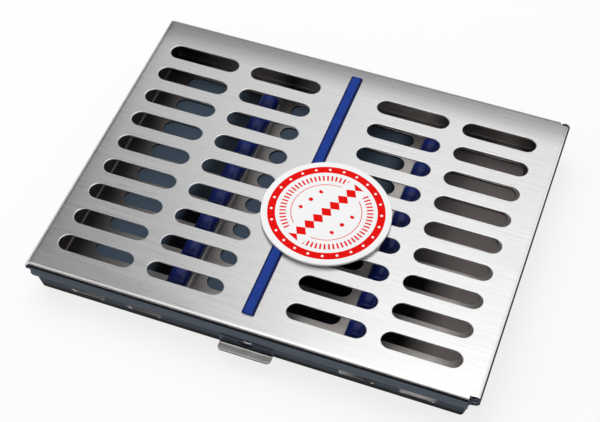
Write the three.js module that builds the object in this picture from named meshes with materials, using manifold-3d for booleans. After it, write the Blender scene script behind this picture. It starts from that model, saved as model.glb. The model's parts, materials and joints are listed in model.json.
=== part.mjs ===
// Dental instrument cassette: a folded steel tray with a slotted lid, whose rolled edge turns on
// a pin between two ears of the tray. Two notched silicone rails in steel channels carry the
// instruments, and a silicone strip in the lid holds them down.
// Millimetres, +Z up. The origin is the middle of the bounding box, at the level of its base.
import * as THREE from "three";
import { mergeVertices } from "three/addons/utils/BufferGeometryUtils.js";
import Module from "manifold-3d";

const wasm = await Module();
wasm.setup();

// Driving dimensions
const cassetteLength = 180; // left face to the outside of the hinge barrel
const cassetteDepth = 144; // front face of the lid to its back face
const cassetteHeight = 18; // underside of the tray to the top of the lid
const sheet = 0.8; // steel sheet of the lid and the tray
const seatGap = 0.3; // tray rim to the underside of the closed lid
const sideGap = 0.5; // tray wall to the lid flange beside it
const runGap = 0.35; // between parts that turn past each other
const overrun = 2; // how far a cutting tool reaches past what it cuts

// Hinge: a pin through the rolled edge of the lid, held in the eyes of two ears on the tray
const barrelRadius = 2; // outside of the roll, and of the eyes
const pinRadius = 0.9;
const rollShare = 290 / 360; // share of a full turn that the sheet is rolled through
const rollTab = 4; // flat of the sheet that runs into the roll
const pinRecess = 0.5; // pin end to the outside of its ear

// Lid
const flangeHeight = 6;
const lidBend = 1.8; // outer radius of the folds
const cornerRadius = 3; // vertical corners, seen from above
const cornerSlit = 0.5;
const slotWidth = 7.5;
const slotPitch = 13.8;
const frontRowY = 15.2; // centre of the front row of slots
const backRowMargin = 15; // least from the centre of the back row to the back face
const slotMargin = 7.8; // left face to the outer slots
const hingeMargin = 8.6; // hinge axis to the outer slots
const slotBridge = 6; // between an outer and an inner slot
const stripBridge = 25.6; // between the inner slots, where the strip lies

// Tray
const rimStraight = 4.7; // upright top of the walls, over the tapered part
const floorInset = 3.9; // foot of a wall to the outside face of the lid
const trayBend = 2;
const floorSlotWidth = 7.5;
const floorSlotMargin = 15.15; // left face of the lid to the floor slots
const floorHingeMargin = 11.55; // hinge axis to the floor slots
const floorBridge = 8.9; // between a side slot and the middle slot of a row
const middleSlotShare = 0.412; // of the length of a row's three slots
const wallSlotLength = 15;
const wallSlotHeight = 6;
const wallSlotTuck = 0.4; // top of the wall slots above the foot of the lid's flange
const wallSlotShares = [0.563, 0.874]; // of half a row of floor slots, either way from the latch

// Latch: a spring tongue in the front flange that snaps over a pressed dimple
const tongueWidth = 21.2;
const tongueGap = 0.3; // bend line at which the tongue leaves the flange
const lipReach = 3.6; // lip beyond the front face
const lipDrop = 5; // foot of the flange to the top of the lip
const lipBend = 1.6; // outer radius
const lipCorner = 1.7;
const catchHoleLength = 5.6;
const catchHoleHeight = 2.8;
const catchDrop = 1.9; // foot of the flange to the middle of the catch hole
const catchClearance = 0.3; // crest of the dimple to the inside of the tongue
const dimpleLength = 5;
const dimpleHeight = 4.8;

// Instrument rails in their channels
const channelWidth = 9;
const channelHeight = 4;
const channelSheet = 0.6;
const channelLip = 0.9;
const railPlay = 0.15; // rail foot to the channel around it
const railWidth = 7.8;
const railTop = 10;
const notchWidth = 5.4;
const notchDepth = 4.6;
const toothShoulder = 1.8; // rounding between a tooth and its notch
const railEndMargin = 4.2; // centre of an end tooth to the end of the rail
const railCrown = 3.2; // height of the arched top of a rail

// Hold-down strip in the lid
const stripWidth = 4.6;
const stripProud = 1;
const stripEdge = 0.4; // rounding of the top edges
const stripWeb = 2.4;
const stripFoot = 6.4;
const stripFootDepth = 4.2;
const stripFootRound = 1.6;
const stripY0 = 7.6;
const stripBackMargin = 6.8; // end of the strip to the back face
const stripSlotMargin = 3.5; // end of the strip to the end of its slot
const webPlay = 0.3;

// Round label on the strip
const labelRadius = 25.8;
const labelThickness = 1.1;
const labelSideShift = 12; // centre of the label to the strip
const labelFrontShift = 9.7; // centre of the label to the middle of the lid's depth

// How finely round stretches are divided
const bendSteps = 4;
const cornerSteps = 5;
const slotSteps = 4;
const rollSteps = 14;
const crownSteps = 6;
const pinSides = 20;
const labelSides = 72;
const domeSides = 20;
const domeRings = 10;

// Worked out from the values above
const hingeX = cassetteLength - barrelRadius;
const hingeZ = cassetteHeight - barrelRadius;
const eyeRadius = barrelRadius - sheet; // inside of the roll, and of the eyes
const turningRadius = barrelRadius + runGap; // kept clear round the roll and the eyes
const lidUnderside = cassetteHeight - sheet;
const lidEdgeX = hingeX - Math.sqrt(turningRadius ** 2 - eyeRadius ** 2);
const trayRim = lidUnderside - seatGap;
const flangeFoot = cassetteHeight - flangeHeight;
const rimInset = sheet + sideGap;
const taperTop = trayRim - rimStraight;
const taperAngle = Math.atan2(floorInset - rimInset, taperTop);
const trayRightFace = hingeX - eyeRadius;
const barrelY0 = rimInset + sheet + runGap;
const barrelY1 = cassetteDepth - barrelY0;

const slotRun = hingeX - slotMargin - hingeMargin;
const slotLength = (slotRun - 2 * slotBridge - stripBridge) / 4;
const stripX = slotMargin + slotRun / 2;
const innerSlotOffset = (stripBridge + slotLength) / 2;
const outerSlotOffset = (slotRun - slotLength) / 2;
const slotRows = 1 + Math.floor((cassetteDepth - frontRowY - backRowMargin) / slotPitch);
const rowYs = Array.from({ length: slotRows }, (_, row) => frontRowY + row * slotPitch);

const floorRun = hingeX - floorSlotMargin - floorHingeMargin;
const trayMiddleX = floorSlotMargin + floorRun / 2;
const middleFloorSlot = middleSlotShare * (floorRun - 2 * floorBridge);
const sideFloorSlot = (floorRun - 2 * floorBridge - middleFloorSlot) / 2;
const sideFloorSlotOffset = (floorRun - sideFloorSlot) / 2;
const wallSlotZ = flangeFoot + wallSlotTuck - wallSlotHeight / 2;
const latchX = trayMiddleX;
const lipTop = flangeFoot - lipDrop;
const catchZ = flangeFoot - catchDrop;

const channelTop = sheet + channelHeight;
const railOffset = middleFloorSlot / 2 + floorBridge;
const railToothCount = slotRows - 1;
const railMiddleY = (rowYs[0] + rowYs[slotRows - 1]) / 2;
const railReach = ((railToothCount - 1) * slotPitch) / 2 + railEndMargin;
const railY0 = railMiddleY - railReach;
const railY1 = railMiddleY + railReach;
const stripY1 = cassetteDepth - stripBackMargin;

// Solids from three.js geometry, and meshes from solids
function solidOf(geometry) {
  const bare = geometry.clone();
  bare.deleteAttribute("normal");
  bare.deleteAttribute("uv");
  const merged = mergeVertices(bare);
  return new wasm.Manifold(
    new wasm.Mesh({
      numProp: 3,
      vertProperties: merged.attributes.position.array,
      triVerts: new Uint32Array(merged.index.array),
    }),
  );
}

function meshOf(name, solid, material) {
  const result = solid.getMesh();
  const geometry = new THREE.BufferGeometry();
  geometry.setAttribute("position", new THREE.BufferAttribute(result.vertProperties, 3));
  geometry.setIndex(new THREE.BufferAttribute(result.triVerts, 1));
  geometry.computeVertexNormals();
  const mesh = new THREE.Mesh(geometry, material);
  mesh.name = name;
  return mesh;
}

function boxBetween(x0, x1, y0, y1, z0, z1) {
  const box = new THREE.BoxGeometry(x1 - x0, y1 - y0, z1 - z0);
  return solidOf(box.translate((x0 + x1) / 2, (y0 + y1) / 2, (z0 + z1) / 2));
}

// A shape drawn in x and z, pushed along y from y0 to y1.
function alongY(shape, y0, y1, curveSegments) {
  const geometry = new THREE.ExtrudeGeometry(shape, { depth: y1 - y0, bevelEnabled: false, curveSegments });
  return solidOf(geometry.rotateX(Math.PI / 2).translate(0, y1, 0));
}

// A shape drawn in y and z, pushed along x from x0 to x1.
function alongX(shape, x0, x1, curveSegments) {
  const geometry = new THREE.ExtrudeGeometry(shape, { depth: x1 - x0, bevelEnabled: false, curveSegments });
  return solidOf(geometry.rotateX(Math.PI / 2).rotateZ(Math.PI / 2).translate(x0, 0, 0));
}

// A shape drawn in x and y, pushed up from z0 to z1.
function alongZ(shape, z0, z1, curveSegments) {
  const geometry = new THREE.ExtrudeGeometry(shape, { depth: z1 - z0, bevelEnabled: false, curveSegments });
  return solidOf(geometry.translate(0, 0, z0));
}

// A slot outline with round ends, its long axis along the first coordinate.
function stadium(centreU, centreV, length, width) {
  const radius = width / 2;
  const reach = length / 2 - radius;
  const shape = new THREE.Shape();
  shape.absarc(centreU + reach, centreV, radius, -Math.PI / 2, Math.PI / 2, false);
  shape.absarc(centreU - reach, centreV, radius, Math.PI / 2, (3 * Math.PI) / 2, false);
  return shape;
}

function roundedRectangle(u0, u1, v0, v1, radius) {
  const shape = new THREE.Shape();
  shape.absarc(u1 - radius, v0 + radius, radius, -Math.PI / 2, 0, false);
  shape.absarc(u1 - radius, v1 - radius, radius, 0, Math.PI / 2, false);
  shape.absarc(u0 + radius, v1 - radius, radius, Math.PI / 2, Math.PI, false);
  shape.absarc(u0 + radius, v0 + radius, radius, Math.PI, (3 * Math.PI) / 2, false);
  return shape;
}

// A thin pan folded from sheet: rings of one rounded rectangle, joined in turn. The first ring
// closes facing up and the last facing down. Each ring is { x0, x1, y0, y1, radius, z }.
function foldedPan(rings) {
  const points = [];
  const faces = [];
  const perRing = 4 * (cornerSteps + 1);
  for (const { x0, x1, y0, y1, radius, z } of rings) {
    const centres = [
      [x1 - radius, y0 + radius],
      [x1 - radius, y1 - radius],
      [x0 + radius, y1 - radius],
      [x0 + radius, y0 + radius],
    ];
    centres.forEach(([cx, cy], corner) => {
      for (let step = 0; step <= cornerSteps; step++) {
        const angle = (corner - 1 + step / cornerSteps) * (Math.PI / 2);
        points.push(cx + radius * Math.cos(angle), cy + radius * Math.sin(angle), z);
      }
    });
  }
  for (let ring = 0; ring + 1 < rings.length; ring++)
    for (let i = 0; i < perRing; i++) {
      const here = ring * perRing + i;
      const next = ring * perRing + ((i + 1) % perRing);
      faces.push(here, here + perRing, next + perRing, here, next + perRing, next);
    }
  const last = (rings.length - 1) * perRing;
  for (let i = 1; i + 1 < perRing; i++) {
    faces.push(0, i, i + 1);
    faces.push(last, last + i + 1, last + i);
  }
  const geometry = new THREE.BufferGeometry();
  geometry.setAttribute("position", new THREE.Float32BufferAttribute(points, 3));
  geometry.setIndex(faces);
  return solidOf(geometry);
}

// A round fold seen in section: points at an inset from the wall's outer face and a height,
// from angle 0, straight up or down from the centre, out to the angle given.
function foldPoints(inset, z, radius, upward, angle) {
  return Array.from({ length: bendSteps + 1 }, (_, step) => {
    const turn = (angle * step) / bendSteps;
    return { inset: inset - radius * Math.sin(turn), z: z + upward * radius * Math.cos(turn) };
  });
}

// The rolled edge of the lid: the sheet runs in flat over the top, then round the hinge axis.
function makeRoll() {
  const start = Math.PI / 2;
  const end = start - rollShare * 2 * Math.PI;
  const section = new THREE.Shape();
  section.moveTo(hingeX - rollTab, hingeZ + barrelRadius);
  section.absarc(hingeX, hingeZ, barrelRadius, start, end, true);
  section.absarc(hingeX, hingeZ, eyeRadius, end, start, false);
  section.lineTo(hingeX - rollTab, hingeZ + eyeRadius);
  return alongY(section, barrelY0, barrelY1, rollSteps);
}

// Lid: one sheet with three folded flanges, four columns of slots and a rolled fourth edge
function makeLid() {
  const farX = hingeX + 2 * cornerRadius;
  const ringAt = ({ inset, z }) => ({
    x0: inset,
    x1: farX - inset,
    y0: inset,
    y1: cassetteDepth - inset,
    radius: cornerRadius - inset,
    z,
  });
  const foldZ = cassetteHeight - lidBend;
  const outside = foldPoints(lidBend, foldZ, lidBend, 1, Math.PI / 2);
  const inside = foldPoints(lidBend, foldZ, lidBend - sheet, 1, Math.PI / 2);
  const section = [
    ...outside,
    { inset: 0, z: flangeFoot },
    { inset: sheet, z: flangeFoot },
    ...inside.reverse(),
  ];
  let lid = foldedPan(section.map(ringAt));
  lid = lid.subtract(
    boxBetween(
      lidEdgeX,
      farX + overrun,
      -overrun,
      cassetteDepth + overrun,
      flangeFoot - overrun,
      cassetteHeight + overrun,
    ),
  );
  lid = lid.add(makeRoll());

  for (const offset of [-outerSlotOffset, -innerSlotOffset, innerSlotOffset, outerSlotOffset])
    for (const y of rowYs) {
      const outline = stadium(stripX + offset, y, slotLength, slotWidth);
      lid = lid.subtract(alongZ(outline, lidUnderside - overrun, cassetteHeight + overrun, slotSteps));
    }
  const stripSlot = roundedRectangle(
    stripX - stripWeb / 2 - webPlay,
    stripX + stripWeb / 2 + webPlay,
    stripY0 + stripSlotMargin,
    stripY1 - stripSlotMargin,
    stripWeb / 2,
  );
  lid = lid.subtract(alongZ(stripSlot, lidUnderside - overrun, cassetteHeight + overrun, slotSteps));
  return cutCornerSlits(lid);
}

// The flanges meet at the left corners in a narrow upright slit.
function cutCornerSlits(lid) {
  for (const [cornerY, side] of [
    [0, 1],
    [cassetteDepth, -1],
  ]) {
    const slit = new THREE.BoxGeometry(2 * cornerRadius, cornerSlit, flangeHeight);
    slit.rotateZ((side * Math.PI) / 4);
    slit.translate(0, cornerY, flangeFoot - lidBend + flangeHeight / 2);
    lid = lid.subtract(solidOf(slit));
  }
  return lid;
}

// Tray: floor and four tapered walls with an upright rim. The wall under the roll is cut lower,
// and the two long walls end beside it in the ears that hold the pin.
function makeTray() {
  const ringAt = ({ inset, z }) => ({
    x0: inset,
    x1: trayRightFace + rimInset - inset,
    y0: inset,
    y1: cassetteDepth - inset,
    radius: Math.max(cornerRadius + trayBend - inset, sheet),
    z,
  });
  const foldAngle = Math.PI / 2 - taperAngle;
  const foldCentre = floorInset + trayBend * Math.tan(foldAngle / 2);
  const outside = foldPoints(foldCentre, trayBend, trayBend, -1, foldAngle);
  const inside = foldPoints(foldCentre, trayBend, trayBend - sheet, -1, foldAngle);
  const section = [
    ...inside,
    { inset: rimInset + sheet, z: taperTop + sheet * Math.tan(taperAngle / 2) },
    { inset: rimInset + sheet, z: trayRim },
    { inset: rimInset, z: trayRim },
    { inset: rimInset, z: taperTop },
    ...outside.reverse(),
  ];
  let tray = foldedPan(section.map(ringAt));

  tray = tray.subtract(
    boxBetween(
      hingeX - turningRadius,
      hingeX + overrun,
      barrelY0 - runGap,
      barrelY1 + runGap,
      hingeZ - turningRadius,
      trayRim + overrun,
    ),
  );
  for (const earY of [rimInset, cassetteDepth - rimInset - sheet]) tray = tray.add(makeEar(earY));

  for (const y of rowYs)
    for (const [offset, length] of [
      [-sideFloorSlotOffset, sideFloorSlot],
      [0, middleFloorSlot],
      [sideFloorSlotOffset, sideFloorSlot],
    ]) {
      const outline = stadium(trayMiddleX + offset, y, length, floorSlotWidth);
      tray = tray.subtract(alongZ(outline, -overrun, sheet + overrun, slotSteps));
    }
  for (const share of wallSlotShares)
    for (const side of [-1, 1]) {
      const centreX = latchX + (side * share * floorRun) / 2;
      const outline = stadium(centreX, wallSlotZ, wallSlotLength, wallSlotHeight);
      tray = tray.subtract(alongY(outline, -overrun, cassetteDepth + overrun, slotSteps));
    }
  return addCatchDimple(tray);
}

// Ear: a long wall's rim carried on past the corner, to an eye that the pin lies in. Its lower
// edge leaves the round of the eye at a tangent and meets the rim where the taper starts.
function makeEar(y0) {
  const rootX = trayRightFace - cornerRadius - trayBend;
  const reach = Math.hypot(hingeX - rootX, hingeZ - taperTop);
  const start = Math.PI - Math.asin((trayRim - hingeZ) / barrelRadius);
  const end = Math.atan2(taperTop - hingeZ, rootX - hingeX) + Math.acos(barrelRadius / reach);
  const plate = new THREE.Shape();
  plate.moveTo(rootX, taperTop);
  plate.lineTo(rootX, trayRim);
  plate.absarc(hingeX, hingeZ, barrelRadius, start, end, true);
  const eye = new THREE.Path();
  eye.absarc(hingeX, hingeZ, eyeRadius, 0, 2 * Math.PI, false);
  plate.holes.push(eye);
  return alongY(plate, y0, y0 + sheet, rollSteps);
}

// The dimple is pressed out of the front wall, so it is hollow behind.
function addCatchDimple(tray) {
  const faceY = rimInset + (taperTop - catchZ) * Math.tan(taperAngle);
  const proud = faceY - sheet - catchClearance;
  const backY = faceY + sheet;
  const dome = (shrink) => {
    const ball = new THREE.SphereGeometry(1, domeSides, domeRings);
    ball.scale(dimpleLength / 2 - shrink, proud + sheet - shrink, dimpleHeight / 2 - shrink);
    return solidOf(ball.translate(latchX, backY, catchZ));
  };
  const front = boxBetween(
    latchX - dimpleLength,
    latchX + dimpleLength,
    backY - dimpleLength,
    backY - sheet / 2,
    catchZ - dimpleLength,
    catchZ + dimpleLength,
  );
  return tray.add(dome(0).intersect(front)).subtract(dome(sheet));
}

// Latch tongue: it hangs from the flange, and its foot is bent out to a finger lip
function makeTongue() {
  const top = flangeFoot - tongueGap;
  const lipFoot = lipTop - sheet;
  const profile = new THREE.Shape();
  profile.moveTo(0, top);
  profile.lineTo(0, lipTop + lipBend - sheet);
  profile.absarc(sheet - lipBend, lipFoot + lipBend, lipBend - sheet, 0, -Math.PI / 2, true);
  profile.lineTo(-lipReach, lipTop);
  profile.lineTo(-lipReach, lipFoot);
  profile.lineTo(sheet - lipBend, lipFoot);
  profile.absarc(sheet - lipBend, lipFoot + lipBend, lipBend, -Math.PI / 2, 0, false);
  profile.lineTo(sheet, top);
  const x0 = latchX - tongueWidth / 2;
  const x1 = latchX + tongueWidth / 2;
  const plan = roundedRectangle(x0, x1, -lipReach, sheet + 2 * lipCorner, lipCorner);
  const hole = stadium(latchX, catchZ, catchHoleLength, catchHoleHeight);
  return alongX(profile, x0, x1, bendSteps)
    .intersect(alongZ(plan, lipFoot - overrun, top + overrun, cornerSteps))
    .subtract(alongY(hole, -overrun, sheet + overrun, slotSteps));
}

function makePin() {
  const length = cassetteDepth - 2 * (rimInset + pinRecess);
  const pin = new THREE.CylinderGeometry(pinRadius, pinRadius, length, pinSides);
  return solidOf(pin.translate(hingeX, cassetteDepth / 2, hingeZ));
}

// Channel: a lipped steel section on the floor, which grips the foot of the silicone rail
function makeChannel(centreX) {
  const half = channelWidth / 2;
  const inside = half - channelSheet;
  const mouth = inside - channelLip;
  const foot = sheet;
  const section = new THREE.Shape();
  section.moveTo(centreX - half, foot);
  section.lineTo(centreX + half, foot);
  section.lineTo(centreX + half, channelTop);
  section.lineTo(centreX + mouth, channelTop);
  section.lineTo(centreX + mouth, channelTop - channelSheet);
  section.lineTo(centreX + inside, channelTop - channelSheet);
  section.lineTo(centreX + inside, foot + channelSheet);
  section.lineTo(centreX - inside, foot + channelSheet);
  section.lineTo(centreX - inside, channelTop - channelSheet);
  section.lineTo(centreX - mouth, channelTop - channelSheet);
  section.lineTo(centreX - mouth, channelTop);
  section.lineTo(centreX - half, channelTop);
  return alongY(section, railY0, railY1, bendSteps);
}

// Rail: a footed silicone section with an arched top, whose teeth stand between the rows of
// slots, with notches between them that have round floors and shoulders
function makeRail(centreX) {
  const footHalf = channelWidth / 2 - channelSheet - railPlay;
  const neckHalf = channelWidth / 2 - channelSheet - channelLip - railPlay;
  const half = railWidth / 2;
  const footZ = sheet + channelSheet;
  const footTop = channelTop - channelSheet - railPlay;
  const section = new THREE.Shape();
  section.moveTo(centreX - footHalf, footZ);
  section.lineTo(centreX + footHalf, footZ);
  section.lineTo(centreX + footHalf, footTop);
  section.lineTo(centreX + neckHalf, footTop);
  section.lineTo(centreX + neckHalf, channelTop);
  section.lineTo(centreX + half, channelTop);
  section.absellipse(centreX, railTop - railCrown, half, railCrown, 0, Math.PI, false, 0);
  section.lineTo(centreX - half, channelTop);
  section.lineTo(centreX - neckHalf, channelTop);
  section.lineTo(centreX - neckHalf, footTop);
  section.lineTo(centreX - footHalf, footTop);

  const side = new THREE.Shape();
  const notchHalf = notchWidth / 2;
  const notchFloor = railTop - notchDepth;
  const shoulderZ = railTop - toothShoulder;
  side.moveTo(railY0, 0);
  side.lineTo(railY1, 0);
  side.absarc(railY1 - toothShoulder, shoulderZ, toothShoulder, 0, Math.PI / 2, false);
  for (let gap = railToothCount - 2; gap >= 0; gap--) {
    const notchY = railY0 + railEndMargin + (gap + 1 / 2) * slotPitch;
    const shoulder = notchHalf + toothShoulder;
    side.absarc(notchY + shoulder, shoulderZ, toothShoulder, Math.PI / 2, Math.PI, false);
    side.absarc(notchY, notchFloor + notchHalf, notchHalf, 0, -Math.PI, true);
    side.absarc(notchY - shoulder, shoulderZ, toothShoulder, 0, Math.PI / 2, false);
  }
  side.absarc(railY0 + toothShoulder, shoulderZ, toothShoulder, Math.PI / 2, Math.PI, false);
  return alongY(section, railY0, railY1, crownSteps).intersect(
    alongX(side, centreX - channelWidth, centreX + channelWidth, bendSteps / 2),
  );
}

// Hold-down strip: a silicone H section, its web pressed through the long slot in the lid
function makeStrip() {
  const halfWeb = stripWeb / 2;
  const headTop = cassetteHeight + stripProud;
  const head = roundedRectangle(
    stripX - stripWidth / 2,
    stripX + stripWidth / 2,
    cassetteHeight - stripEdge,
    headTop,
    stripEdge,
  );
  const footBottom = lidUnderside - stripFootDepth;
  const foot = roundedRectangle(
    stripX - stripFoot / 2,
    stripX + stripFoot / 2,
    footBottom,
    lidUnderside + stripFootRound,
    stripFootRound,
  );
  const slotY0 = stripY0 + stripSlotMargin + webPlay + halfWeb;
  const slotY1 = stripY1 - stripSlotMargin - webPlay - halfWeb;
  const aroundSheet = boxBetween(
    stripX - stripFoot,
    stripX + stripFoot,
    stripY0 - overrun,
    stripY1 + overrun,
    lidUnderside,
    cassetteHeight,
  );
  const web = boxBetween(
    stripX - halfWeb,
    stripX + halfWeb,
    slotY0,
    slotY1,
    lidUnderside - stripFootRound,
    cassetteHeight + stripProud / 2,
  );
  return alongY(head, stripY0, stripY1, bendSteps / 2)
    .add(alongY(foot, stripY0, stripY1, bendSteps))
    .subtract(aroundSheet)
    .add(web);
}

function makeLabel() {
  const disc = new THREE.CylinderGeometry(labelRadius, labelRadius, labelThickness, labelSides);
  disc.rotateX(Math.PI / 2);
  const middleZ = cassetteHeight + stripProud + labelThickness / 2;
  return solidOf(disc.translate(stripX + labelSideShift, cassetteDepth / 2 - labelFrontShift, middleZ));
}

// Materials
const brushedSteel = new THREE.MeshStandardMaterial({ color: 0xb9b8b6, roughness: 0.38, metalness: 1 });
const traySteel = new THREE.MeshStandardMaterial({ color: 0x8d8b8a, roughness: 0.3, metalness: 1 });
const pinSteel = new THREE.MeshStandardMaterial({ color: 0x9a9a9a, roughness: 0.25, metalness: 1 });
const tongueSteel = new THREE.MeshStandardMaterial({ color: 0xa8a4a0, roughness: 0.35, metalness: 1 });
const blueSilicone = new THREE.MeshStandardMaterial({ color: 0x183a96, roughness: 0.5, metalness: 0 });
const railSilicone = new THREE.MeshStandardMaterial({ color: 0x12227a, roughness: 0.55, metalness: 0 });
const labelCard = new THREE.MeshStandardMaterial({ color: 0xf7f6f4, roughness: 0.6, metalness: 0 });

// Assembly
const cassette = new THREE.Group();
const trayGroup = new THREE.Group();
const lidGroup = new THREE.Group();
cassette.add(trayGroup, lidGroup);

trayGroup.add(meshOf("base_tray", makeTray(), traySteel));
trayGroup.add(meshOf("hinge_pin", makePin(), pinSteel));
for (const [side, offset] of [
  ["left", -railOffset],
  ["right", railOffset],
]) {
  const centreX = trayMiddleX + offset;
  trayGroup.add(meshOf(`rail_channel_${side}`, makeChannel(centreX), traySteel));
  trayGroup.add(meshOf(`instrument_rail_${side}`, makeRail(centreX), railSilicone));
}

lidGroup.add(meshOf("lid", makeLid(), brushedSteel));
lidGroup.add(meshOf("latch_tongue", makeTongue(), tongueSteel));
lidGroup.add(meshOf("hold_down_strip", makeStrip(), blueSilicone));
lidGroup.add(meshOf("round_label", makeLabel(), labelCard));

cassette.position.set(-cassetteLength / 2, (lipReach - cassetteDepth) / 2, 0);

export default cassette;
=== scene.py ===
import json
import math

import bmesh
import bpy
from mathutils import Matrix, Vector

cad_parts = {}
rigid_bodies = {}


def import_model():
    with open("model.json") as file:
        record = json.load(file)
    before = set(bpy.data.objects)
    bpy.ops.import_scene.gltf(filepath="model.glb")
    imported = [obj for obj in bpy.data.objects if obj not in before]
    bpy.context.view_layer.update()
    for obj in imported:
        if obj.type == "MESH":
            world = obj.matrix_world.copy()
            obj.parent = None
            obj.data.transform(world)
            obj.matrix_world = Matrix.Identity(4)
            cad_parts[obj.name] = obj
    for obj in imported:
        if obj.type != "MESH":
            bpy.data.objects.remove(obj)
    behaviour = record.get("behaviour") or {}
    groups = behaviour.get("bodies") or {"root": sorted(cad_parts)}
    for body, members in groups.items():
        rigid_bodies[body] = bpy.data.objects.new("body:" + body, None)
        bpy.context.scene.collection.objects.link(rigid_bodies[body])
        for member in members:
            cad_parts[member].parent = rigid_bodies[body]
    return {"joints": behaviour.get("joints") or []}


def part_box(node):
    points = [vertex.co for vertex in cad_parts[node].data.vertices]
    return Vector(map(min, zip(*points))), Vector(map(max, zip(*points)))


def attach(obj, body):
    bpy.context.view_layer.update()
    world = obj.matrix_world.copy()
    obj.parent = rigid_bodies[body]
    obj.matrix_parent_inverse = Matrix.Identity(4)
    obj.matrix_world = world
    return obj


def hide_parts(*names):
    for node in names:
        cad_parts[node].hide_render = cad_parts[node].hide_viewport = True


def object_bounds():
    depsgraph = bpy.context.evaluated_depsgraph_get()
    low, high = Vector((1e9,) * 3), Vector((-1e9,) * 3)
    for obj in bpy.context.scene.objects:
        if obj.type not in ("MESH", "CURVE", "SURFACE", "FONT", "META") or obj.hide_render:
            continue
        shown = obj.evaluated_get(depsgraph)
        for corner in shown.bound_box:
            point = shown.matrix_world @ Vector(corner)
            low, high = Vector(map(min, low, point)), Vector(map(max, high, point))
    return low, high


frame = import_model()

cad_box = [list(corner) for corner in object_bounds()]
scene = bpy.context.scene


# Studio: a white sweep in a white room, with a softbox overhead and a low panel on the left. Cards
# at the back, on the left, on the right and behind the camera make the mirror image that the steel
# shows, darker on the left and lighter on the right. The camera stands above the front right corner.
camera_lens = 85.1
camera_place = (0.1149, -0.3394, 0.4532)
camera_turn = (38.75, -0.54, 19.84)
floor_size = 6.0
floor_drop = 0.0002
floor_whiteness = 0.80
room_strength = 0.32
softbox_place = (-0.30, 0.34, 1.00)
softbox_size = 1.10
softbox_power = 10.5
side_panel_place = (-0.90, -0.70, 0.60)
side_panel_size = 0.80
side_panel_power = 3.0
paper_grey = 0.9
paper_roughness = 0.9
cards = [
    ("left_card", (-1.10, 0.70, 0.95), (1.0, 2.2), 0.12),
    ("back_card", (0.0, 1.85, 0.95), (2.4, 0.9), 0.25),
    ("bright_card", (0.24, -0.06, 1.00), (1.1, 1.1), 1.75),
    ("room_behind_camera", (0.25, -1.50, 1.10), (3.4, 2.4), 0.02),
]

camera = bpy.data.objects.new("camera", bpy.data.cameras.new("camera"))
camera.data.sensor_width = 36
camera.data.lens = camera_lens
camera.data.clip_start = 0.01
camera.location = camera_place
camera.rotation_euler = [math.radians(angle) for angle in camera_turn]
scene.collection.objects.link(camera)
scene.camera = camera
scene.view_settings.view_transform = "Standard"


def new_material(name):
    """A node material with its tree and its Principled shader."""
    material = bpy.data.materials.new(name)
    material.use_nodes = True
    return material, material.node_tree, material.node_tree.nodes["Principled BSDF"]


def white_background(tree, shader, output, share):
    """Shows a share of plain white to the camera, in mirrors and through glass, and adds no light."""
    path = tree.nodes.new("ShaderNodeLightPath")
    seen = path.outputs["Is Camera Ray"]
    for ray in ("Is Glossy Ray", "Is Transmission Ray"):
        either = tree.nodes.new("ShaderNodeMath")
        either.operation = "MAXIMUM"
        tree.links.new(seen, either.inputs[0])
        tree.links.new(path.outputs[ray], either.inputs[1])
        seen = either.outputs[0]
    part = tree.nodes.new("ShaderNodeMath")
    part.operation = "MULTIPLY"
    part.inputs[1].default_value = share
    tree.links.new(seen, part.inputs[0])
    white = tree.nodes.new("ShaderNodeEmission")
    mix = tree.nodes.new("ShaderNodeMixShader")
    tree.links.new(part.outputs[0], mix.inputs[0])
    tree.links.new(shader.outputs[0], mix.inputs[1])
    tree.links.new(white.outputs[0], mix.inputs[2])
    tree.links.new(mix.outputs[0], tree.nodes[output].inputs[0])


def plain_sheet(name, width, depth, material):
    """A flat rectangle at the origin, facing up."""
    bm = bmesh.new()
    corners = [(-1, -1), (1, -1), (1, 1), (-1, 1)]
    bm.faces.new([bm.verts.new((u * width / 2, v * depth / 2, 0)) for u, v in corners])
    mesh = bpy.data.meshes.new(name)
    bm.to_mesh(mesh)
    bm.free()
    mesh.materials.append(material)
    flat = bpy.data.objects.new(name, mesh)
    scene.collection.objects.link(flat)
    return flat


sweep_paper, paper_tree, paper_shader = new_material("sweep_paper")
paper_shader.inputs["Base Color"].default_value = (paper_grey, paper_grey, paper_grey, 1)
paper_shader.inputs["Roughness"].default_value = paper_roughness
white_background(paper_tree, paper_shader, "Material Output", floor_whiteness)
floor = plain_sheet("floor", floor_size, floor_size, sweep_paper)
floor.location.z = -floor_drop

world = bpy.data.worlds.new("room")
world.use_nodes = True
room = world.node_tree.nodes["Background"]
room.inputs["Color"].default_value = (1, 1, 1, 1)
room.inputs["Strength"].default_value = room_strength
white_background(world.node_tree, room, "World Output", 1.0)
scene.world = world


def facing(place):
    """The turn of a lamp or a card at a place, so that it faces the cassette."""
    return (-Vector(place)).to_track_quat("-Z", "Y").to_euler()


def panel_light(name, place, size, power):
    """A square softbox. The steel shows the cards in its place."""
    light = bpy.data.objects.new(name, bpy.data.lights.new(name, "AREA"))
    light.data.shape = "SQUARE"
    light.data.size = size
    light.data.energy = power
    light.location = place
    light.rotation_euler = facing(place)
    light.visible_glossy = False
    scene.collection.objects.link(light)


def card(name, place, size, tone):
    """A card that shows in the steel alone. A tone of 1 is white."""
    material, tree, _ = new_material(name)
    glow = tree.nodes.new("ShaderNodeEmission")
    glow.inputs["Color"].default_value = (tone, tone, tone, 1)
    tree.links.new(glow.outputs[0], tree.nodes["Material Output"].inputs[0])
    board = plain_sheet(name, *size, material)
    board.location = place
    board.rotation_euler = facing(place)
    board.visible_camera = False
    board.visible_diffuse = False
    board.visible_transmission = False
    board.visible_shadow = False


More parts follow.
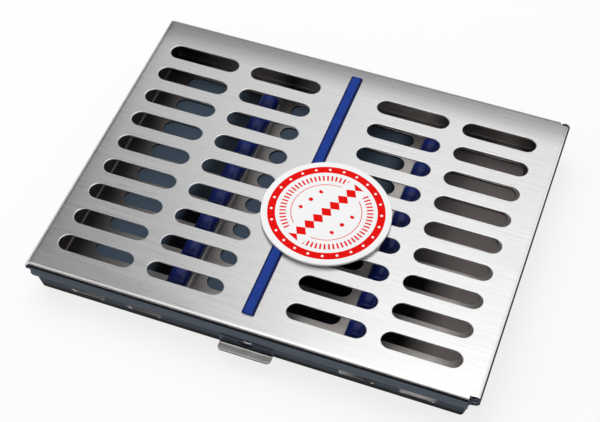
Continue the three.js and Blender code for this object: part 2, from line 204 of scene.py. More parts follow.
panel_light("softbox", softbox_place, softbox_size, softbox_power)
panel_light("side_panel", side_panel_place, side_panel_size, side_panel_power)
for name, place, size, tone in cards:
    card(name, place, size, tone)


# Table under the tray: the strip of table that shows through the slots in the floor of the tray,
# as a sheet of painted shade. It is slate blue on the left and warm on the right, the table's colour
# darkened by painted shade, with bands of painted shadow beside the rails, and darker in front of
# the middle.
under_inset = 0.006
slate = (0.085, 0.120, 0.165)
# Painted shadow beside the rails, near black.
rail_shadow_black = (0.006, 0.006, 0.008)
warm = (0.200, 0.175, 0.170)
# Painted shade beside the left rail at the back, dark slate.
rail_shade_slate = (0.036, 0.046, 0.060)
back_shares = [(0.20, slate), (0.24, rail_shade_slate), (0.33, rail_shade_slate), (0.36, slate)]
back_shares += [(0.62, slate), (0.66, rail_shadow_black), (0.71, rail_shadow_black), (0.82, warm)]
front_shares = [(0.20, slate), (0.235, rail_shadow_black), (0.33, rail_shadow_black), (0.36, slate)]
front_shares += [(0.46, slate), (0.50, rail_shadow_black), (0.80, rail_shadow_black), (0.87, warm)]
shade_turns = (-0.012, 0.006)
table_roughness = 0.9


def along_axis(tree, axis, start, end):
    """A value that goes from 0 to 1 between two places on an axis of the object."""
    place = tree.nodes.new("ShaderNodeTexCoord")
    across = tree.nodes.new("ShaderNodeSeparateXYZ")
    share = tree.nodes.new("ShaderNodeMapRange")
    share.inputs["From Min"].default_value = start
    share.inputs["From Max"].default_value = end
    tree.links.new(place.outputs["Object"], across.inputs["Vector"])
    tree.links.new(across.outputs[axis], share.inputs["Value"])
    return share


def colour_ramp(tree, value, stops):
    """Turns a value into the colours of a ramp, whose stops are shares and colours."""
    ramp = tree.nodes.new("ShaderNodeValToRGB")
    for index, (share, colour) in enumerate(stops):
        if index < len(ramp.color_ramp.elements):
            stop = ramp.color_ramp.elements[index]
        else:
            stop = ramp.color_ramp.elements.new(share)
        stop.position = share
        stop.color = (*colour, 1)
    tree.links.new(value, ramp.inputs["Fac"])
    return ramp.outputs["Color"]


cad_low, cad_high = [Vector(corner) for corner in cad_box]
table_shade, table_tree, shade_shader = new_material("table_shade")
across_table = along_axis(table_tree, "X", cad_low.x, cad_high.x).outputs["Result"]
toward_back = along_axis(table_tree, "Y", *shade_turns).outputs["Result"]
both = table_tree.nodes.new("ShaderNodeMixRGB")
table_tree.links.new(toward_back, both.inputs["Fac"])
table_tree.links.new(colour_ramp(table_tree, across_table, front_shares), both.inputs["Color1"])
table_tree.links.new(colour_ramp(table_tree, across_table, back_shares), both.inputs["Color2"])
table_tree.links.new(both.outputs["Color"], shade_shader.inputs["Base Color"])
shade_shader.inputs["Roughness"].default_value = table_roughness
shade_shader.inputs["Specular IOR Level"].default_value = 0.0
under_tray = plain_sheet(
    "table_under_tray",
    cad_high.x - cad_low.x - 2 * under_inset,
    cad_high.y - cad_low.y - 4 * under_inset,
    table_shade,
)
under_tray.location.z = floor_drop / 2


# Tray: a pan pressed from 0.8 mm stainless sheet. Its walls lean out from the floor and end in an
# upright rim, and slots are punched through the floor and the two long walls. Past the right wall
# the long walls run on into two ears, each with an eye for the hinge pin.
sheet = 0.0008
run_gap = 0.00035
seat_gap = 0.0003
lid_low, lid_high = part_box("lid")
tray_low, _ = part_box("base_tray")
hinge = next(joint for joint in frame["joints"] if joint["name"] == "lid_hinge")
hinge_x, _, hinge_z = hinge["pos_m"]
left = lid_low.x
front = lid_low.y
back = lid_high.y
middle_y = (front + back) / 2
lid_top = lid_high.z
barrel_radius = lid_top - hinge_z
eye_radius = barrel_radius - sheet
turning_radius = barrel_radius + run_gap

rim_height = lid_top - sheet - seat_gap
rim_straight = 0.0047
rim_inset = tray_low.x - left
floor_inset = 0.0039
floor_bend = 0.002
tray_corner = 0.005
tray_right = hinge_x - eye_radius
taper_top = rim_height - rim_straight
taper = math.atan2(floor_inset - rim_inset, taper_top)
barrel_front = front + rim_inset + sheet + run_gap
barrel_back = back - rim_inset - sheet - run_gap

row_pitch = 0.0138
row_count = 9
first_row = front + 0.0152
slot_width = 0.0075
floor_run = 0.1513
floor_start = left + 0.01515
floor_bridge = 0.0089
middle_slot = 0.055
side_slot = (floor_run - 2 * floor_bridge - middle_slot) / 2
tray_middle = floor_start + floor_run / 2
wall_slot_places = [-0.0661, -0.0426, 0.0426, 0.0661]
wall_slot_length = 0.015
wall_slot_height = 0.0052
wall_slot_middle = 0.0078

catch_z = 0.0101
dimple_length = 0.005
dimple_height = 0.0048
dimple_clearance = 0.0003

reach_over = 0.002
bend_steps = 8
corner_steps = 12
round_steps = 14
cut_edge_round = 0.00025
eye_sides = 32
merge_distance = 0.00001

outer_share = 0.9
wall_lean = 0.75
cut_face_lean = 0.8
lip_lean = 0.4
# Painted shade towards the foot of the tray's outer walls: where it starts and ends in height, and how
# dark.
foot_shade = (0.0056, 0.0036)
foot_shade_tone = 0.08
# Painted shade and light on the tray's floor across its width: dark beside the rails and the left wall,
# lighter between.
floor_shade_shares = [(0.05, 0.16), (0.10, 0.30), (0.19, 0.70), (0.28, 0.60), (0.33, 0.22), (0.38, 0.75)]
floor_shade_shares += [(0.60, 0.85), (0.68, 1.00), (0.74, 0.25), (0.80, 0.40), (0.88, 0.75), (0.94, 0.30)]
wall_grain = (60, 2400, 2400)
streak_layers = [(1.0, 3.0), (0.3, 2.0)]
streak_shares = (0.35, 0.65)
dulling_shares = (0.3, 0.7)
streak_bump = (0.12, 0.00004)
tray_colours = [(0.68, 0.63, 0.60), (0.82, 0.77, 0.74)]
tray_gloss = (0.38, 0.05)
# Painted shade and reflection: the dark slate of the tray's outer sides, slot cuts and ears.
wall_shade_colours = [(0.044, 0.055, 0.070), (0.060, 0.074, 0.094)]
wall_gloss = (0.34, 0.04)
wall_edge = 0.5
# Painted highlight: a bright steel for the lower lips of the wall slots and for the dimple.
lip_glint_colours = [(0.70, 0.70, 0.70), (0.84, 0.84, 0.84)]
lip_gloss = (0.30, 0.04)


def arc(centre_u, centre_v, radius, start, end, steps):
    """Points round part of a circle, from one angle to another."""
    points = []
    for step in range(steps + 1):
        angle = start + (end - start) * step / steps
        points.append((centre_u + radius * math.cos(angle), centre_v + radius * math.sin(angle)))
    return points


def rounded_outline(low_u, high_u, low_v, high_v, radius, steps):
    """A rectangle with round corners."""
    points = []
    centres = [
        (high_u - radius, low_v + radius),
        (high_u - radius, high_v - radius),
        (low_u + radius, high_v - radius),
        (low_u + radius, low_v + radius),
    ]
    for quarter, (u, v) in enumerate(centres):
        start = (quarter - 1) * math.pi / 2
        points += arc(u, v, radius, start, start + math.pi / 2, steps)
    return points


def slot_outline(length, width, centre_u=0, centre_v=0):
    """A slot with round ends, its long way along the first direction."""
    reach = (length - width) / 2
    right = arc(centre_u + reach, centre_v, width / 2, -math.pi / 2, math.pi / 2, round_steps)
    left_end = arc(centre_u - reach, centre_v, width / 2, math.pi / 2, 3 * math.pi / 2, round_steps)
    return right + left_end


def fold(inset, height, radius, upward, angle):
    """A round fold in section, from straight below or above its centre out to an angle."""
    points = []
    for step in range(bend_steps + 1):
        turn = angle * step / bend_steps
        points.append((inset - radius * math.sin(turn), height + upward * radius * math.cos(turn)))
    return points


def join_rings(bm, rings):
    """Closes rings of points, each as long as the others, into one body with flat ends."""
    rings = [[bm.verts.new(point) for point in ring] for ring in rings]
    for here, there in zip(rings, rings[1:]):
        for index in range(len(here)):
            after = (index + 1) % len(here)
            bm.faces.new((here[index], there[index], there[after], here[after]))
    bm.faces.new(rings[0])
    bm.faces.new(rings[-1][::-1])
    bmesh.ops.recalc_face_normals(bm, faces=bm.faces)


def new_piece(name, bm, material=None):
    """A smooth mesh object in the scene, from bmesh."""
    mesh = bpy.data.meshes.new(name)
    bm.to_mesh(mesh)
    bm.free()
    if material:
        mesh.materials.append(material)
    for face in mesh.polygons:
        face.use_smooth = True
    piece = bpy.data.objects.new(name, mesh)
    scene.collection.objects.link(piece)
    return piece


def pan(name, section, far_x, corner, material):
    """A pan folded from sheet: one rounded ring for each inset and height of its section."""
    rings = []
    for inset, height in section:
        ring = rounded_outline(
            left + inset,
            far_x - inset,
            front + inset,
            back - inset,
            max(corner - inset, sheet),
            corner_steps,
        )
        rings.append([(x, y, height) for x, y in ring])
    bm = bmesh.new()
    join_rings(bm, rings)
    return new_piece(name, bm, material)


def bar(name, outline, low, high, axis, material=None):
    """A closed bar of one outline along X, Y or Z. The outline's directions are the other two."""
    places = {
        "X": lambda u, v, w: (w, u, v),
        "Y": lambda u, v, w: (u, w, v),
        "Z": lambda u, v, w: (u, v, w),
    }
    bm = bmesh.new()
    join_rings(bm, [[places[axis](u, v, w) for u, v in outline] for w in (low, high)])
    return new_piece(name, bm, material)


def dome(name, centre, reach, half_length, half_height, tail):
    """A dome that swells to the front from its base, with a straight tail behind the base."""
    rings = [(centre.y + tail, 1.0)]
    for step in range(bend_steps):
        angle = step / bend_steps * math.pi / 2
        rings.append((centre.y - reach * math.sin(angle), math.cos(angle)))
    sides = 4 * bend_steps
    points = []
    for y, size in rings:
        ring = []
        for side in range(sides):
            angle = 2 * math.pi * side / sides
            x = centre.x + size * half_length * math.cos(angle)
            z = centre.z + size * half_height * math.sin(angle)
            ring.append((x, y, z))
        points.append(ring)
    bm = bmesh.new()
    join_rings(bm, points)
    return new_piece(name, bm)


def tool_tree(name, operation):
    """Geometry Nodes: a tool repeated along a line, and cut from a piece, joined to it or kept with it."""
    group = bpy.data.node_groups.new(name, "GeometryNodeTree")
    for label, kind in [
        ("Piece", "NodeSocketGeometry"),
        ("Tool", "NodeSocketObject"),
        ("First place", "NodeSocketVector"),
        ("Step", "NodeSocketVector"),
        ("Count", "NodeSocketInt"),
        ("Finish", "NodeSocketMaterial"),
    ]:
        group.interface.new_socket(label, in_out="INPUT", socket_type=kind)
    group.interface.new_socket("Piece", in_out="OUTPUT", socket_type="NodeSocketGeometry")
    given = group.nodes.new("NodeGroupInput")
    result = group.nodes.new("NodeGroupOutput")
    line = group.nodes.new("GeometryNodeMeshLine")
    tool = group.nodes.new("GeometryNodeObjectInfo")
    copies = group.nodes.new("GeometryNodeInstanceOnPoints")
    boolean = group.nodes.new("GeometryNodeMeshBoolean")
    boolean.operation = operation
    boolean.solver = "EXACT"
    realize = group.nodes.new("GeometryNodeRealizeInstances")
    finish = group.nodes.new("GeometryNodeSetMaterial")
    group.links.new(given.outputs["Count"], line.inputs["Count"])
    group.links.new(given.outputs["First place"], line.inputs["Start Location"])
    group.links.new(given.outputs["Step"], line.inputs["Offset"])
    group.links.new(given.outputs["Tool"], tool.inputs["Object"])
    group.links.new(line.outputs["Mesh"], copies.inputs["Points"])
    group.links.new(tool.outputs["Geometry"], copies.inputs["Instance"])
    into = "Mesh 1" if operation == "DIFFERENCE" else "Mesh 2"
    group.links.new(given.outputs["Piece"], boolean.inputs[into])
    group.links.new(copies.outputs["Instances"], boolean.inputs["Mesh 2"])
    group.links.new(boolean.outputs["Mesh"], realize.inputs["Geometry"])
    group.links.new(realize.outputs["Geometry"], finish.inputs["Geometry"])
    group.links.new(given.outputs["Finish"], finish.inputs["Material"])
    group.links.new(finish.outputs["Geometry"], result.inputs["Piece"])
    return group


punched = tool_tree("punched", "DIFFERENCE")
welded = tool_tree("welded", "UNION")
trimmed = tool_tree("trimmed", "INTERSECT")


def work(piece, group, tool, first=(0, 0, 0), step=(0, 0, 0), count=1):
    """Adds one step of work to a piece, with the tree's inputs set by their identifiers."""
    modifier = piece.modifiers.new(group.name, "NODES")
    modifier.node_group = group
    values = {
        "Tool": tool,
        "First place": first,
        "Step": step,
        "Count": count,
        "Finish": piece.data.materials[0],
    }
    for item in group.interface.items_tree:
        if item.in_out == "INPUT" and item.name in values:
            modifier[item.identifier] = values[item.name]


def settle(piece):
    """Works a piece's modifiers into its mesh."""
    evaluated = piece.evaluated_get(bpy.context.evaluated_depsgraph_get())
    mesh = bpy.data.meshes.new_from_object(evaluated)
    piece.modifiers.clear()
    piece.data = mesh
    return mesh


def round_edges(piece, width, sharpest=50):
    """A small radius on every outward edge that is sharper than an angle in degrees."""
    mesh = settle(piece)
    bm = bmesh.new()
    bm.from_mesh(mesh)
    bmesh.ops.remove_doubles(bm, verts=bm.verts, dist=merge_distance)
    rounded = bm.edges.layers.float.new("bevel_weight_edge")
    for edge in bm.edges:
        if edge.calc_face_angle_signed(0) > math.radians(sharpest):
            edge[rounded] = 1
    bm.to_mesh(mesh)
    bm.free()
    bevel = piece.modifiers.new("rounded_edges", "BEVEL")
    bevel.width = width
    bevel.segments = 3
    bevel.limit_method = "WEIGHT"
    bevel.use_clamp_overlap = False
    bevel.harden_normals = True


def make_plain(piece):
    """Works the last modifiers into a piece's mesh, and lays a map of its grain on it."""
    mesh = settle(piece)
    for other in list(mesh.uv_layers):
        mesh.uv_layers.remove(other)
    grain_map = mesh.uv_layers.new(name="grain")
    for face in mesh.polygons:
        for loop in face.loop_indices:
            x, y, z = mesh.vertices[mesh.loops[loop].vertex_index].co
            across = z if abs(face.normal.y) > abs(face.normal.z) else y
            grain_map.data[loop].uv = (across, x)


def outer_side(face, lean):
    """Whether a face is on the outside of the cassette's sides and leans less than a slope."""
    outward = face.center - Vector(((left + hinge_x) / 2, middle_y, 0))
    along = max(abs(outward.x) / hinge_x, abs(outward.y) / back)
    away = face.normal.x * outward.x + face.normal.y * outward.y
    return face.normal.z < lean and away > 0 and along > outer_share


def paint_shade_or_glint(piece, finish, chosen):
    """Gives some of a piece's faces another material, one that paints shade, a reflection or a glint on
    them.
    """
    piece.data.materials.append(finish)
    for face in piece.data.polygons:
        if chosen(face):
            face.material_index = len(piece.data.materials) - 1


def unevenness(tree, rate, detail):
    """Noise over the object, by how often it changes in each metre, along each axis or all."""
    place = tree.nodes.new("ShaderNodeTexCoord")
    noise = tree.nodes.new("ShaderNodeTexNoise")
    noise.inputs["Detail"].default_value = detail
    if isinstance(rate, tuple):
        stretch = tree.nodes.new("ShaderNodeMapping")
        stretch.inputs["Scale"].default_value = rate
        noise.inputs["Scale"].default_value = 1.0
        tree.links.new(place.outputs["Object"], stretch.inputs["Vector"])
        tree.links.new(stretch.outputs["Vector"], noise.inputs["Vector"])
    else:
        noise.inputs["Scale"].default_value = rate
        tree.links.new(place.outputs["Object"], noise.inputs["Vector"])
    return noise.outputs["Fac"]


def raise_surface(tree, shader, height, strength, distance):
    """Bumps on a finish, by a value for their height."""
    bump = tree.nodes.new("ShaderNodeBump")
    bump.inputs["Strength"].default_value = strength
    bump.inputs["Distance"].default_value = distance
    tree.links.new(height, bump.inputs["Height"])
    tree.links.new(bump.outputs["Normal"], shader.inputs["Normal"])


def brushed_steel(name, colours, gloss, grain, anisotropy=0.0, edge=1.0):
    """Steel with a brushed grain: its dark and light colours, its roughness and how far that varies,
    how often the grain changes along X, Y and Z in each metre, and its tint at grazing angles."""
    material, tree, shader = new_material(name)
    roughness, spread = gloss
    streaks = tree.nodes.new("ShaderNodeMath")
    streaks.operation = "ADD"
    for socket, (share, detail) in zip(streaks.inputs, streak_layers):
        stretched = tuple(share * rate for rate in grain)
        tree.links.new(unevenness(tree, stretched, detail), socket)
    half = tree.nodes.new("ShaderNodeMath")
    half.operation = "MULTIPLY"
    half.inputs[1].default_value = 0.5
    tree.links.new(streaks.outputs[0], half.inputs[0])
    tones = colour_ramp(tree, half.outputs[0], list(zip(streak_shares, colours)))
    tree.links.new(tones, shader.inputs["Base Color"])
    dulling_or_shade = tree.nodes.new("ShaderNodeMapRange")
    dulling_or_shade.inputs["From Min"].default_value = dulling_shares[0]
    dulling_or_shade.inputs["From Max"].default_value = dulling_shares[1]
    dulling_or_shade.inputs["To Min"].default_value = roughness - spread
    dulling_or_shade.inputs["To Max"].default_value = roughness + spread
    tree.links.new(half.outputs[0], dulling_or_shade.inputs["Value"])
    tree.links.new(dulling_or_shade.outputs["Result"], shader.inputs["Roughness"])
    raise_surface(tree, shader, streaks.outputs[0], *streak_bump)
    if anisotropy:
        across_grain = tree.nodes.new("ShaderNodeTangent")
        across_grain.direction_type = "UV_MAP"
        across_grain.uv_map = "grain"
        tree.links.new(across_grain.outputs["Tangent"], shader.inputs["Tangent"])
        shader.inputs["Anisotropic"].default_value = anisotropy
    shader.inputs["Metallic"].default_value = 1
    shader.inputs["Specular Tint"].default_value = (edge, edge, edge, 1)
    return material


def shade_steel(steel, tone):
    """Multiplies a steel's colour by a tone."""
    tree = steel.node_tree
    shader = tree.nodes["Principled BSDF"]
    shaded = tree.nodes.new("ShaderNodeVectorMath")
    shaded.operation = "MULTIPLY"
    tree.links.new(shader.inputs["Base Color"].links[0].from_socket, shaded.inputs[0])
    tree.links.new(tone, shaded.inputs[1])
    tree.links.new(shaded.outputs["Vector"], shader.inputs["Base Color"])


def paint_shade_toward(steel, axis, start, end, tone):
    """Paints shade on a steel: darkens it smoothly from one place along an axis to another."""
    dulling_or_shade = along_axis(steel.node_tree, axis, start, end)
    dulling_or_shade.interpolation_type = "SMOOTHSTEP"
    dulling_or_shade.inputs["To Min"].default_value = 1.0
    dulling_or_shade.inputs["To Max"].default_value = tone
    shade_steel(steel, dulling_or_shade.outputs["Result"])


tray_steel = brushed_steel("tray_steel", tray_colours, tray_gloss, wall_grain)
floor_tree = tray_steel.node_tree
# The tray steel's colour takes the painted shade and light of its floor, by place across the tray.
across_floor = along_axis(floor_tree, "X", left, hinge_x).outputs["Result"]
floor_shade_stops = [(share, (tone, tone, tone)) for share, tone in floor_shade_shares]
shade_steel(tray_steel, colour_ramp(floor_tree, across_floor, floor_shade_stops))
# The tray's dark slate steel is painted shade and reflection, and it darkens further towards the foot as
# painted shade.
wall_steel = brushed_steel("wall_steel", wall_shade_colours, wall_gloss, wall_grain, edge=wall_edge)
paint_shade_toward(wall_steel, "Z", *foot_shade, foot_shade_tone)
lip_steel = brushed_steel("lip_steel", lip_glint_colours, lip_gloss, wall_grain)

fold_angle = math.pi / 2 - taper
fold_centre = floor_inset + floor_bend * math.tan(fold_angle / 2)
tray_section = (
    fold(fold_centre, floor_bend, floor_bend - sheet, -1, fold_angle)
    + [
        (rim_inset + sheet, taper_top + sheet * math.tan(taper / 2)),
        (rim_inset + sheet, rim_height),
        (rim_inset, rim_height),
        (rim_inset, taper_top),
    ]
    + fold(fold_centre, floor_bend, floor_bend, -1, fold_angle)[::-1]
)
tray_pan = pan("tray_pan", tray_section, tray_right + rim_inset, tray_corner, tray_steel)

roll_way = bar(
    "roll_way_tool",
    [
        (hinge_x - turning_radius, hinge_z - turning_radius),
        (hinge_x + reach_over, hinge_z - turning_radius),
        (hinge_x + reach_over, rim_height + reach_over),
        (hinge_x - turning_radius, rim_height + reach_over),
    ],
    barrel_front - run_gap,
    barrel_back + run_gap,
    "Y",
)
work(tray_pan, punched, roll_way)

ear_root = tray_right - tray_corner
ear_start = math.pi - math.asin((rim_height - hinge_z) / barrel_radius)
ear_end = math.atan2(taper_top - hinge_z, ear_root - hinge_x) + math.acos(
    barrel_radius / math.hypot(hinge_x - ear_root, hinge_z - taper_top)
)
ear_outline = [(ear_root, taper_top), (ear_root, rim_height)]
ear_outline += arc(hinge_x, hinge_z, barrel_radius, ear_start, ear_end, 2 * round_steps)
ear = bar("ear_tool", ear_outline, 0, sheet, "Y")
ear_step = back - front - 2 * rim_inset - sheet
work(tray_pan, welded, ear, (0, front + rim_inset, 0), (0, ear_step, 0), 2)
eye = arc(hinge_x, hinge_z, eye_radius, 0, 2 * math.pi * (1 - 1 / eye_sides), eye_sides - 1)
work(tray_pan, punched, bar("eye_tool", eye, 2 * front, 2 * back, "Y"))

side_offset = (floor_run - side_slot) / 2
for offset, length in [(-side_offset, side_slot), (0, middle_slot), (side_offset, side_slot)]:
    outline = slot_outline(length, slot_width, tray_middle + offset)
    tool = bar("floor_slot_tool", outline, -reach_over, sheet + reach_over / 2, "Z")
    work(tray_pan, punched, tool, (0, first_row, 0), (0, row_pitch, 0), row_count)
for offset in wall_slot_places:
    outline = slot_outline(wall_slot_length, wall_slot_height, tray_middle + offset, wall_slot_middle)
    work(tray_pan, punched, bar("wall_slot_tool", outline, 2 * front, 2 * back, "Y"))

wall_face = front + rim_inset + (taper_top - catch_z) * math.tan(taper)
dimple_proud = wall_face - front - sheet - dimple_clearance
outer_centre = Vector((tray_middle, wall_face + sheet / 2, catch_z))
inner_centre = Vector((tray_middle, wall_face + sheet, catch_z))
half_size = (dimple_length / 2, dimple_height / 2)
hollow_size = (dimple_length / 2 - sheet, dimple_height / 2 - sheet)
outer = dome("dimple_tool", outer_centre, dimple_proud + sheet / 2, *half_size, 0)
inner = dome("dimple_hollow_tool", inner_centre, dimple_proud, *hollow_size, sheet)
work(tray_pan, welded, outer)
work(tray_pan, punched, inner)
round_edges(tray_pan, cut_edge_round)
make_plain(tray_pan)


def wall_shade_face(face):
    """The faces with painted shade and reflection: the tray's outer sides, the cut faces of its floor's
    slots, and its ears.
    """
    cut_face = face.center.z < sheet and abs(face.normal.z) < cut_face_lean
    return outer_side(face, wall_lean) or cut_face or face.center.x > tray_right


def glint_face(face):
    """Faces with a painted glint: the lower lips of the wall slots, and the dimple."""
    lip = abs(face.center.z - wall_slot_middle) < wall_slot_height / 2 and face.normal.z > lip_lean
    beside = abs(face.center.x - tray_middle) < dimple_length / 2
    beside = beside and abs(face.center.z - catch_z) < dimple_height / 2
    return lip or (beside and face.center.y < wall_face)


# Painted shade and reflection: dark slate on the outer sides, the floor slots' cut faces and the ears.
paint_shade_or_glint(tray_pan, wall_steel, wall_shade_face)
# Painted glint on the lower lips of the wall slots and on the dimple.
paint_shade_or_glint(tray_pan, lip_steel, glint_face)
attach(tray_pan, "tray")
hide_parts("base_tray")


# Hinge pin: a drawn steel wire whose ends lie in the eyes of the two ears, just inside their
# faces. The lid's rolled edge turns round it.
pin_low, pin_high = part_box("hinge_pin")
pin_radius = (pin_high.x - pin_low.x) / 2
pin_sides = 40
pin_end_round = 0.0002
pin_grain = (1200, 40, 1200)
# Painted shade: the pin is near black, so that its end shows as the dark hollow of the eye.
pin_shade_colours = [(0.020, 0.020, 0.022), (0.030, 0.030, 0.032)]
pin_gloss = (0.40, 0.04)
pin_edge = 0.3

pin_steel = brushed_steel("pin_steel", pin_shade_colours, pin_gloss, pin_grain, edge=pin_edge)
pin_outline = arc(hinge_x, hinge_z, pin_radius, 0, 2 * math.pi * (1 - 1 / pin_sides), pin_sides - 1)
pin = bar("pin", pin_outline, pin_low.y, pin_high.y, "Y", pin_steel)
round_edges(pin, pin_end_round)
make_plain(pin)
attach(pin, "tray")
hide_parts("hinge_pin")


# Rail channels: two lipped channels folded from 0.6 mm stainless strip and spot welded to the
# floor of the tray, between its columns of slots.
channel_sheet = 0.0006
channel_lip = 0.0009
channel_round = 0.00025
channel_grain = (2400, 60, 2400)
channel_colours = [(0.42, 0.41, 0.42), (0.52, 0.51, 0.52)]
channel_gloss = (0.32, 0.04)

channel_steel = brushed_steel("channel_steel", channel_colours, channel_gloss, channel_grain)


def channel_outline(low, high):
    """The channel in section: a floor, two walls and two lips turned in over the rail's foot."""
    inner_left = low.x + channel_sheet
    inner_right = high.x - channel_sheet
    inner_floor = low.z + channel_sheet
    inner_top = high.z - channel_sheet
    return [
        (low.x, low.z),
        (high.x, low.z),
        (high.x, high.z),
        (inner_right - channel_lip, high.z),
        (inner_right - channel_lip, inner_top),
        (inner_right, inner_top),
        (inner_right, inner_floor),
        (inner_left, inner_floor),
        (inner_left, inner_top),
        (inner_left + channel_lip, inner_top),
        (inner_left + channel_lip, high.z),
        (low.x, high.z),
    ]


for side in ("left", "right"):
    low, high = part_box(f"rail_channel_{side}")
    channel = bar(f"channel_{side}", channel_outline(low, high), low.y, high.y, "Y", channel_steel)
    round_edges(channel, channel_round)
    make_plain(channel)
    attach(channel, "tray")
    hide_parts(f"rail_channel_{side}")


# Instrument rails: silicone extrusions whose feet slide into the channels. Their arched tops are
# cut into teeth, and the instruments lie in the notches, one in line with each row of slots.
rail_play = 0.00015
rail_width = 0.0078
rail_crown = 0.0032
notch_width = 0.0054
notch_depth = 0.0046
tooth_shoulder = 0.0018
crown_steps = 28
tooth_edge_round = 0.0005
sharpest_tooth_edge = 40
mottle_rate = 260
mottle_shares = (0.3, 0.7)
skin_rate = 2600
skin_bump = (0.15, 0.00003)
rail_colours = [(0.004, 0.013, 0.12), (0.007, 0.021, 0.18)]
rail_roughness = 0.30
rail_shine = 0.30


def silicone(name, colours, roughness, shine):
    """Soft opaque silicone: an even colour with a faint mottle and a dull, slightly uneven skin."""
    material, tree, shader = new_material(name)
    mottle = unevenness(tree, mottle_rate, detail=3)
    tones = colour_ramp(tree, mottle, list(zip(mottle_shares, colours)))
    tree.links.new(tones, shader.inputs["Base Color"])
    raise_surface(tree, shader, unevenness(tree, skin_rate, detail=2), *skin_bump)
    shader.inputs["Roughness"].default_value = roughness
    shader.inputs["Specular IOR Level"].default_value = shine
    return material


rail_silicone = silicone("rail_silicone", rail_colours, rail_roughness, rail_shine)
notch_half = notch_width / 2
notch_span = notch_half + tooth_shoulder

for side in ("left", "right"):
    low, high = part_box(f"instrument_rail_{side}")
    channel_low, channel_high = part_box(f"rail_channel_{side}")
    centre = (low.x + high.x) / 2
    foot_half = (channel_high.x - channel_low.x) / 2 - channel_sheet - rail_play
    neck_half = foot_half - channel_lip
    foot_top = channel_high.z - channel_sheet - rail_play
    crown = arc(0, 0, 1, 0, math.pi, crown_steps)
    outline = [
        (centre - foot_half, low.z),
        (centre + foot_half, low.z),
        (centre + foot_half, foot_top),
        (centre + neck_half, foot_top),
        (centre + neck_half, channel_high.z),
        (centre + rail_width / 2, channel_high.z),
        *[(centre + u * rail_width / 2, high.z - rail_crown * (1 - v)) for u, v in crown],
        (centre - rail_width / 2, channel_high.z),
        (centre - neck_half, channel_high.z),
        (centre - neck_half, foot_top),
        (centre - foot_half, foot_top),
    ]
    rail = bar(f"rail_{side}", outline, low.y, high.y, "Y", rail_silicone)
    shoulder_z = high.z - tooth_shoulder
    floor_z = high.z - notch_depth + notch_half
    notch = (
        [(-notch_span, high.z + reach_over)]
        + arc(-notch_span, shoulder_z, tooth_shoulder, math.pi / 2, 0, bend_steps)
        + arc(0, floor_z, notch_half, math.pi, 2 * math.pi, round_steps)
        + arc(notch_span, shoulder_z, tooth_shoulder, math.pi, math.pi / 2, bend_steps)
        + [(notch_span, high.z + reach_over)]
    )
    tool = bar("notch_tool", notch, low.x - reach_over, high.x + reach_over, "X")
    work(rail, punched, tool, (0, low.y - notch_half, 0), (0, row_pitch, 0), row_count)
    round_edges(rail, tooth_edge_round, sharpest_tooth_edge)
    make_plain(rail)
    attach(rail, "tray")
    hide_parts(f"instrument_rail_{side}")


# Lid: one stainless sheet with three folded flanges, whose ends are cut at a slant at the left
# corners. Four columns of nine slots are punched through it, and one long slot for the strip. Its
# right edge is rolled round the hinge pin.
flange_height = 0.006
lid_bend = 0.0023
lid_corner = 0.0012
corner_cut = 0.0045
back_shade_band = 0.018
back_shade_tone = 0.5
fold_lean = 0.7
flange_lean = 0.4
lid_grain = (110, 3200, 3200)
lid_colours = [(0.77, 0.77, 0.77), (0.87, 0.87, 0.87)]
lid_gloss = (0.30, 0.04)
lid_anisotropy = 0.6
# Painted shade and reflection: dark slate for the lid's flanges.
side_shade_colours = [(0.064, 0.078, 0.096), (0.088, 0.106, 0.130)]
side_edge = 0.6
# Painted shade and reflection: near black for the line along the lid's outer fold.
fold_shade_colours = [(0.022, 0.022, 0.026), (0.030, 0.030, 0.034)]
fold_edge = 0.4
roll_share = 290 / 360
roll_tab = 0.004
roll_steps = 44
lid_edge = hinge_x - math.sqrt(turning_radius**2 - eye_radius**2)
slot_start = left + 0.0078
slot_end = hinge_x - 0.0086
slot_run = slot_end - slot_start
slot_bridge = 0.006
strip_bridge = 0.0256
lid_slot = (slot_run - 2 * slot_bridge - strip_bridge) / 4
strip_x = slot_start + slot_run / 2
inner_offset = (strip_bridge + lid_slot) / 2
outer_offset = (slot_run - lid_slot) / 2
punched_edge_round = 0.00032

lid_steel = brushed_steel("lid_steel", lid_colours, lid_gloss, lid_grain, lid_anisotropy)
# Painted shade: the lid darkens towards its back fold.
paint_shade_toward(lid_steel, "Y", back - back_shade_band, back - lid_bend, back_shade_tone)
side_steel = brushed_steel("side_steel", side_shade_colours, wall_gloss, wall_grain, edge=side_edge)
fold_steel = brushed_steel("fold_steel", fold_shade_colours, wall_gloss, wall_grain, edge=fold_edge)
lid_underside = lid_top - sheet
flange_foot = lid_top - flange_height
fold_height = lid_top - lid_bend
lid_section = (
    fold(lid_bend, fold_height, lid_bend, 1, math.pi / 2)
    + [(0, flange_foot), (sheet, flange_foot)]
    + fold(lid_bend, fold_height, lid_bend - sheet, 1, math.pi / 2)[::-1]
)
lid_far = hinge_x + 2 * lid_corner
lid_sheet = pan("lid_sheet", lid_section, lid_far, lid_corner, lid_steel)
edge_outline = [
    (lid_edge, flange_foot - reach_over),
    (lid_far + reach_over, flange_foot - reach_over),
    (lid_far + reach_over, lid_top + reach_over),
    (lid_edge, lid_top + reach_over),
]
work(lid_sheet, punched, bar("edge_tool", edge_outline, 2 * front, 2 * back, "Y"))

